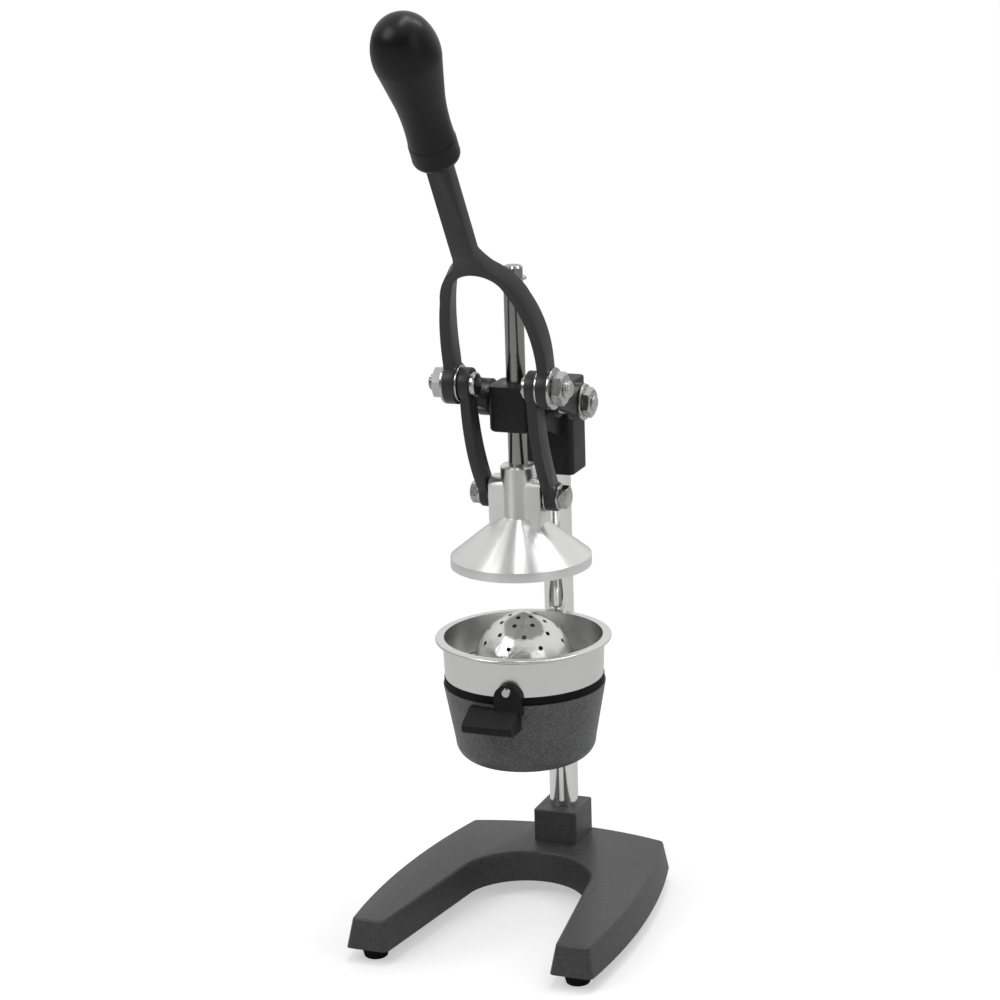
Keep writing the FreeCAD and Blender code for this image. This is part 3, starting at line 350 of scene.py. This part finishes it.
finishes = {
    "castingPaint": hammerPaint("casting_paint_finish", paintFinish),
    # the casting paint made darker: painted shade on the head casting
    "shadedHeadPaint": hammerPaint("head_paint_shaded_finish", shadedHeadFinish),
    "holderPaint": hammerPaint("holder_paint_finish", holderFinish),
    "leverPaint": satinPaint("lever_paint_finish", leverFinish),
    "gripPlastic": mouldedPlastic("grip_plastic_finish", plasticFinish),
    "handlePlastic": mouldedPlastic("handle_plastic_finish", dict(plasticFinish, rough=0.48)),
    "blackRubber": rubberSkin("black_rubber_finish", rubberFinish),
    "chromeBar": turnedSteel("chrome_bar_finish", chromeFinish),
    "rodSteel": turnedSteel("rod_steel_finish", rodFinish),
    "coneSteel": turnedSteel("cone_steel_finish", coneFinish),
    "sheetSteel": turnedSteel("sheet_steel_finish", cupFinish),
    "reamerSteel": turnedSteel("reamer_steel_finish", domeFinish),
    "zincSteel": platedSteel("zinc_steel_finish", zincFinish),
    "bushIron": platedSteel("bush_iron_finish", bushFinish),
}
print("finishes made:", len(finishes))

nodeFinish = {                  # the other nodes are zinc plated
    "base_casting": "castingPaint", "head_casting": "shadedHeadPaint", "cup_holder": "holderPaint",
    "lever_yoke": "leverPaint", "link_left": "leverPaint", "link_right": "leverPaint",
    "lever_grip": "gripPlastic", "cup_handle": "handlePlastic",
    "rubber_feet": "blackRubber", "seat_ring": "blackRubber",
    "column": "chromeBar", "guide_rod": "rodSteel", "press_cone": "coneSteel",
    "strainer_cup": "sheetSteel", "reamer": "reamerSteel",
    "guide_bushes": "bushIron", "fork_bushes": "bushIron",
}


def dress(mesh, node):
    mesh.materials.clear()
    mesh.materials.append(finishes[nodeFinish.get(node, "zincSteel")])


for cadName, cadNode in frame["nodes"].items():
    dress(cadNode.data, cadName)
print("CAD nodes finished")


def settle(mesh, node, sharpAngle):
    # the new mesh becomes a piece that stands for a CAD node
    mesh.validate()
    mesh.polygons.foreach_set("use_smooth", [True] * len(mesh.polygons))
    mesh.set_sharp_from_angle(angle=math.radians(sharpAngle))
    dress(mesh, node)
    piece = bpy.data.objects.new(node + "_dressed", mesh)
    bpy.context.scene.collection.objects.link(piece)
    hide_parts(node)
    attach(piece, bodyOf[node])


softening = {
    "corner": 28.0,             # edges that turn by more are rounded, degrees
    "flat": 0.6,                # faces that turn by less are joined first, degrees
    "steps": 3,
    "weld": 2e-6,               # points nearer than this are one, metres
    "sharpAngle": 40.0,
}
softEdges = {                   # radius of the rounding on the edges, millimetres
    "base_casting": 1.6, "head_casting": 1.4, "cup_holder": 0.9, "lever_yoke": 1.6,
    "link_left": 1.3, "link_right": 1.3, "press_cone": 0.7, "cup_handle": 1.3,
    "crank_washers": 0.35, "pivot_washers": 0.35, "link_left_washers": 0.3, "link_right_washers": 0.3,
    "pivot_spacers": 0.5, "rubber_feet": 1.2, "seat_ring": 0.8,
}


def soften(node, width, way):
    # the CAD shape again, with its hard edges rounded
    work = bmesh.new()
    work.from_mesh(frame["nodes"][node].data)
    bmesh.ops.remove_doubles(work, verts=work.verts, dist=way["weld"])
    bmesh.ops.dissolve_limit(work, angle_limit=math.radians(way["flat"]), verts=work.verts, edges=work.edges)
    hard = [edge for edge in work.edges if len(edge.link_faces) == 2
            and edge.calc_face_angle(0.0) > math.radians(way["corner"])]
    bmesh.ops.bevel(work, geom=hard, offset=width * milli, offset_type="OFFSET", segments=way["steps"],
                    profile=0.5, affect="EDGES", clamp_overlap=True)
    bmesh.ops.remove_doubles(work, verts=work.verts, dist=way["weld"])
    mesh = bpy.data.meshes.new(node + "_soft")
    work.to_mesh(mesh)
    work.free()
    settle(mesh, node, way["sharpAngle"])


for softNode, softWidth in softEdges.items():
    soften(softNode, softWidth, softening)
print("edges softened:", len(softEdges))

rightward = Vector((1.0, 0.0, 0.0))
backward = Vector((0.0, 1.0, 0.0))
upward = Vector((0.0, 0.0, 1.0))

# Turned and six-sided fasteners. Each is a stack of rings along its axis, and a ring is a distance
# along the axis with a function that gives the radius at an angle.
turning = {
    "spokes": 72,               # points round a ring
    "faceShare": 0.95,          # radius of a nut's flat face, as a share of half its flats
    "chamferSlope": 0.5,        # depth of the chamfer round that face for each millimetre outwards
    "chamferRings": 4,
    "threadDepth": 0.54,        # in pitches
    "threadRings": 8,           # rings for each turn of a thread
    "tipChamfer": 0.7,          # in pitches
    "boreGap": 0.1,             # between a nut and its thread, millimetres
    "sharpAngle": 30.0,
}


def roundRing(radius):
    return lambda angle: radius


def hexRing(flats, most):
    # six-sided outline cut back to a circle, as a chamfer does
    def reach(angle):
        aside = (math.degrees(angle) % 60.0) - 30.0
        return min(flats / 2 / math.cos(math.radians(aside)), most)
    return reach


def threadRing(radius, along, pitch, most):
    # a helical ridge: the radius falls and rises once a turn
    def reach(angle):
        share = (along / pitch - angle / math.tau) % 1.0
        return min(radius - turning["threadDepth"] * pitch * abs(2.0 * share - 1.0), most)
    return reach


def hexBody(start, end, flats, bevelStart=True):
    # a nut or bolt head; its corners are chamfered at the end and, if asked, at the start
    corner = flats / 2 / math.cos(math.radians(30.0))
    face = flats / 2 * turning["faceShare"]
    depth = (corner - face) * turning["chamferSlope"]
    shares = [step / turning["chamferRings"] for step in range(turning["chamferRings"] + 1)]
    way = 1.0 if end > start else -1.0
    rings = []
    for share in shares:
        most = face + (corner - face) * share if bevelStart else corner
        rings.append((start + way * depth * share, hexRing(flats, most)))
    for share in reversed(shares):
        rings.append((end - way * depth * share, hexRing(flats, face + (corner - face) * share)))
    return rings


def threadBody(start, end, diameter, pitch):
    # threaded stretch with a chamfered tip
    count = max(2, int(abs(end - start) / pitch * turning["threadRings"]))
    rings = []
    for step in range(count + 1):
        along = start + (end - start) * step / count
        tip = diameter / 2 - max(0.0, pitch * turning["tipChamfer"] - abs(end - along))
        rings.append((along, threadRing(diameter / 2, along, pitch, tip)))
    return rings


def pinBody(start, end, diameter, chamferStart=0.0, chamferEnd=0.0):
    # plain pin; only a chamfered end has a second, smaller ring
    way = 1.0 if end > start else -1.0
    radius = diameter / 2
    rings = [(start + way * chamferStart, roundRing(radius)), (end - way * chamferEnd, roundRing(radius))]
    if chamferStart:
        rings.insert(0, (start, roundRing(radius - chamferStart)))
    if chamferEnd:
        rings.append((end, roundRing(radius - chamferEnd)))
    return rings


def turnedSide(degrees):
    # where the first corner of a nut on a crosswise bolt points
    turn = math.radians(degrees)
    return backward * math.cos(turn) + upward * math.sin(turn)


def stackMesh(work, rings, origin, axis, side=backward, bore=0.0):
    # skin a stack of rings; side is where angles start, and a bore is a hole's radius
    across = axis.cross(side)
    centre = Vector(origin)
    spokes = turning["spokes"]
    rows = []
    if bore:
        rings = [(rings[0][0], roundRing(bore))] + rings + [(rings[-1][0], roundRing(bore))]
    for along, reach in rings:
        row = []
        for index in range(spokes):
            angle = math.tau * index / spokes
            out = reach(angle)
            place = centre + axis * along + side * (out * math.cos(angle)) + across * (out * math.sin(angle))
            row.append(work.verts.new(spot(*place)))
        rows.append(row)
    pairs = list(zip(rows, rows[1:]))
    if bore:
        pairs.append((rows[-1], rows[0]))
    for lower, upper in pairs:
        for index in range(spokes):
            ahead = (index + 1) % spokes
            work.faces.new((lower[index], lower[ahead], upper[ahead], upper[index]))
    if not bore:
        work.faces.new(list(reversed(rows[0])))
        work.faces.new(rows[-1])


def fastener(node, stacks):
    # one piece made of several stacks, each the rings, place, axis, side and bore of stackMesh
    work = bmesh.new()
    for stack in stacks:
        stackMesh(work, *stack)
    bmesh.ops.recalc_face_normals(work, faces=work.faces)
    mesh = bpy.data.meshes.new(node + "_turned")
    work.to_mesh(mesh)
    work.free()
    settle(mesh, node, turning["sharpAngle"])


crank = {
    "place": (0.0, -33.9, 465.3),
    "headFrom": 20.1, "headDiameter": 20.0, "headChamfer": 1.2, "headRelief": 0.2,
    "pinFrom": 24.1, "pinTo": 60.5, "diameter": 14.0, "pitch": 2.0,
    "nutFrom": 46.7, "nutTo": 55.7, "flats": 24.0,
    "turn": 12.0,               # degrees by which the nut happens to stand
}


def makeCrankFasteners(size):
    nuts = []
    bolts = []
    nut = hexBody(size["nutFrom"], size["nutTo"], size["flats"])
    head = pinBody(size["headFrom"], size["pinFrom"], size["headDiameter"], size["headChamfer"],
                   size["headRelief"])
    shank = pinBody(size["pinFrom"], size["nutFrom"], size["diameter"])
    thread = threadBody(size["nutFrom"], size["pinTo"], size["diameter"], size["pitch"])
    for way in (1.0, -1.0):
        axis = rightward * way
        nuts.append((nut, size["place"], axis, turnedSide(size["turn"] * way),
                     size["diameter"] / 2 + turning["boreGap"]))
        bolts += [(rings, size["place"], axis) for rings in (head, shank, thread)]
    fastener("crank_nuts", nuts)
    fastener("crank_bolts", bolts)


makeCrankFasteners(crank)

pivot = {
    "place": (0.0, 36.0, 438.5),
    "shaftTo": 44.5, "diameter": 14.0, "chamfer": 0.4,
    "threadFrom": 43.5, "threadTo": 56.0, "threadDiameter": 12.0, "pitch": 1.75,
    "nutFrom": 47.0, "nutTo": 53.5, "flats": 22.0,
    "turn": 20.0,
}


def makePivotFasteners(size):
    nut = hexBody(size["nutFrom"], size["nutTo"], size["flats"])
    shaft = pinBody(-size["shaftTo"], size["shaftTo"], size["diameter"], size["chamfer"], size["chamfer"])
    thread = threadBody(size["threadFrom"], size["threadTo"], size["threadDiameter"], size["pitch"])
    nuts = []
    axle = [(shaft, size["place"], rightward)]
    for way in (1.0, -1.0):
        axis = rightward * way
        nuts.append((nut, size["place"], axis, turnedSide(size["turn"] * way),
                     size["threadDiameter"] / 2 + turning["boreGap"]))
        axle.append((thread, size["place"], axis))
    fastener("pivot_nuts", nuts)
    fastener("pivot_axle", axle)


makePivotFasteners(pivot)

linkBolt = {
    "place": (0.0, 4.2, 365.5),
    "tip": 16.5, "tipChamfer": 0.6, "seat": 35.2, "head": 42.2, "diameter": 10.0, "flats": 17.0,
    "turns": {"left": 10.0, "right": 8.0},
}


def makeLinkBolts(size):
    pin = pinBody(size["tip"], size["seat"], size["diameter"], size["tipChamfer"])
    head = hexBody(size["seat"], size["head"], size["flats"], bevelStart=False)
    for name, way in (("left", -1.0), ("right", 1.0)):
        axis = rightward * way
        fastener("link_" + name + "_bolt", [
            (pin, size["place"], axis),
            (head, size["place"], axis, turnedSide(size["turns"][name])),
        ])


makeLinkBolts(linkBolt)

clampScrew = {
    "tip": 99.7, "diameter": 8.0, "pitch": 1.25, "head": 5.3, "flats": 13.0,
    "turn": 0.3,                # of the lowest screw's head, radians; each one above turns 1 radian more
}
clampPlaces = {                 # node: heights of its screws and the rear face that their heads lie on
    "socket_set_screw": ((52.0,), 105.1),
    "head_set_screws": ((384.0, 428.0), 105.1),
    "holder_clamp_screw": ((176.0,), 106.1),
}


def makeClampScrews(size, places):
    for node, (heights, face) in places.items():
        thread = threadBody(face, size["tip"], size["diameter"], size["pitch"])
        head = hexBody(face, face + size["head"], size["flats"], bevelStart=False)
        stacks = []
        for index, height in enumerate(heights):
            turn = size["turn"] + index
            side = rightward * math.cos(turn) + upward * math.sin(turn)
            stacks.append((thread, (0.0, 0.0, height), backward, rightward))
            stacks.append((head, (0.0, 0.0, height), backward, side))
        fastener(node, stacks)


makeClampScrews(clampScrew, clampPlaces)
print("fasteners made")

photoView = {
    "place": (830.61, -2130.13, 969.44),    # of the camera, from the press axis
    "turn": 21.702,                         # how far it looks to the left of straight back, degrees
    "down": 14.879,                         # how far it looks below level, degrees
    "roll": 1.774,                          # how far it is tipped clockwise, degrees
    "focal": 2879.53,                       # in pixels
    "picture": 1000.0,                      # width of the picture in pixels
    "sensor": 36.0,                         # width of the sensor, millimetres
    "sight": 60.0,                          # how far it sees, metres
}


def setCamera(view):
    turn, down, roll = (math.radians(view[key]) for key in ("turn", "down", "roll"))
    forward = Vector((-math.sin(turn) * math.cos(down), math.cos(turn) * math.cos(down), -math.sin(down)))
    level = Vector((math.cos(turn), math.sin(turn), 0.0))
    above = level.cross(forward)
    right = level * math.cos(roll) - above * math.sin(roll)
    top = above * math.cos(roll) + level * math.sin(roll)
    data = bpy.data.cameras.new("photo_camera")
    data.sensor_width = view["sensor"]
    data.lens = view["focal"] * view["sensor"] / view["picture"]
    data.clip_end = view["sight"]
    camera = bpy.data.objects.new("photo_camera", data)
    facing = Matrix((right, top, -forward)).transposed().to_4x4()
    camera.matrix_world = Matrix.Translation(spot(*view["place"])) @ facing
    bpy.context.scene.collection.objects.link(camera)
    bpy.context.scene.camera = camera


setCamera(photoView)

# Stage and light, in metres.
floorLook = {
    "reach": 9.0,
    "tone": 0.62,               # of the floor itself
    "glow": 0.46,               # added where the camera sees it, so that it is white around a soft shadow
    "nearWhite": 0.35,          # from here outwards it turns into plain white
    "farWhite": 1.1,            # and from here on it is plain white
}


def paleFloor(look):
    reach = look["reach"]
    mesh = bpy.data.meshes.new("floor")
    mesh.from_pydata([(-reach, -reach, 0), (reach, -reach, 0), (reach, reach, 0), (-reach, reach, 0)], [],
                     [(0, 1, 2, 3)])
    floor = bpy.data.objects.new("floor", mesh)
    bpy.context.scene.collection.objects.link(floor)
    material, place = startMaterial("floor_finish")
    away = place.node("ShaderNodeVectorMath", {"operation": "LENGTH"}, {0: place}, "Value")
    share = away.smoothly(look["nearWhite"], look["farWhite"])
    diffuse = place.node("ShaderNodeBsdfDiffuse", None, {"Color": grey(look["tone"])})
    glow = place.node("ShaderNodeEmission", None, {"Strength": look["glow"]})
    white = place.node("ShaderNodeEmission")
    near = place.node("ShaderNodeAddShader", None, {0: diffuse, 1: glow})
    pale = place.node("ShaderNodeMixShader", None, {0: share, 1: near, 2: white})
    cameraRay = place.node("ShaderNodeLightPath", output="Is Camera Ray")
    seen = place.node("ShaderNodeMixShader", None, {0: cameraRay, 1: diffuse, 2: pale})
    seen.show("ShaderNodeOutputMaterial")
    mesh.materials.append(material)


studioSky = {
    "dark": 0.20,               # light from low down and from the front
    "bright": 0.82,             # light from high up and from the rear
    "lean": 0.5,                # what a direction to the rear counts for, beside one straight up
    "brightFrom": 0.75,         # height plus that share at which the room is fully bright
    "roof": 0.45,               # what is left of it straight overhead
    "roofFrom": 0.86,           # height of a direction at which the roof starts to dim
    "roofTo": 0.97,             # and at which it has dimmed
}


def skyLight(look):
    # studio room, bright above and behind and darker in front; the camera sees plain white
    world = bpy.data.worlds.new("studio")
    bpy.context.scene.world = world
    world.use_nodes = True
    tree = world.node_tree
    tree.nodes.clear()
    direction = Wire(tree, tree.nodes.new("ShaderNodeTexCoord").outputs["Generated"])
    high = direction.node("ShaderNodeVectorMath", {"operation": "DOT_PRODUCT"},
                          {0: direction, 1: (0.0, look["lean"], 1.0)}, "Value")
    room = high.smoothly(0.0, look["brightFrom"], look["dark"], look["bright"])
    dim = direction.part("Z").smoothly(look["roofFrom"], look["roofTo"], 1.0, look["roof"])
    cameraRay = direction.node("ShaderNodeLightPath", output="Is Camera Ray")
    strength = direction.maths("MAXIMUM", cameraRay, room * dim)
    back = direction.node("ShaderNodeBackground", None, {"Color": grey(1.0), "Strength": strength})
    back.show("ShaderNodeOutputWorld")


lamps = {                       # power in watts
    "key_lamp": {"place": (-1.3, -1.5, 2.1), "aim": (0.0, 0.05, 0.35), "size": (1.3, 1.3), "power": 16.0},
    "fill_lamp": {"place": (2.0, -1.0, 1.2), "aim": (0.0, 0.05, 0.35), "size": (1.2, 1.6), "power": 4.0},
    "middle_strip": {"place": (0.0, 0.06, 2.55), "aim": (0.0, 0.06, 0.32), "size": (0.30, 1.4),
                     "power": 10.5},
    "right_strip": {"place": (0.71, 0.68, 2.42), "aim": (0.0, 0.06, 0.32), "size": (0.25, 1.2),
                    "power": 9.5},
}


def softLamp(name, look):
    data = bpy.data.lights.new(name, "AREA")
    data.shape = "RECTANGLE"
    data.size, data.size_y = look["size"]
    data.energy = look["power"]
    lamp = bpy.data.objects.new(name, data)
    lamp.location = look["place"]
    aim = Vector(look["aim"]) - Vector(look["place"])
    lamp.rotation_euler = aim.to_track_quat("-Z", "Y").to_euler()
    bpy.context.scene.collection.objects.link(lamp)


paleFloor(floorLook)
skyLight(studioSky)
for lampName, lampLook in lamps.items():
    softLamp(lampName, lampLook)
bpy.context.scene.view_settings.view_transform = "Standard"
print("stage and light set")
